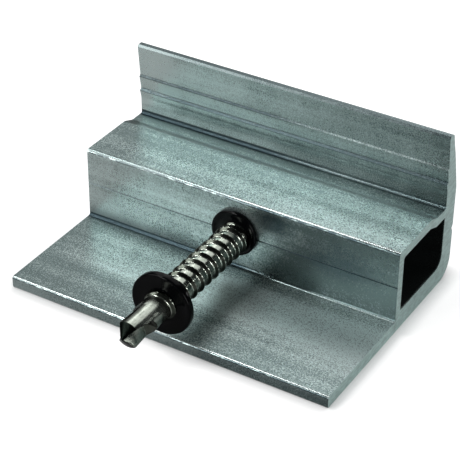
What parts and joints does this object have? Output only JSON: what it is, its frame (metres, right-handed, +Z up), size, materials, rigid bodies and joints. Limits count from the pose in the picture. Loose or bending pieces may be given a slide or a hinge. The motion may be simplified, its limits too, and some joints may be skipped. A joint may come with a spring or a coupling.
{
  "type": "solar panel rail clamp with captive self-drilling screw",
  "caption": "Extruded aluminium solar clamp with base flange, hollow box and gripping lip, and a captive self-drilling screw with rubber retaining washers.",
  "frame": {"origin": "middle of the flat underside of the base", "axes": "+Z up out of the base, X along the extrusion, -Y the side that the screw points to"},
  "size_m": [0.07, 0.0701, 0.0333],
  "materials": {
    "profile": "mill finish, softly mottled",
    "screw": "bright stainless",
    "washer": "glossy black"
  },
  "bodies": {
    "clamp": {"clamp_profile": "profile"},
    "screw": {"self_drilling_screw": "screw", "wall_washer": "washer", "tip_washer": "washer"}
  },
  "joints": [
    {"name": "screw_turn", "type": "hinge", "parent": "clamp", "child": "screw", "pos_m": [0.0005, 0, 0.0102], "axis": [0, -1, 0], "continuous": true}
  ]
}
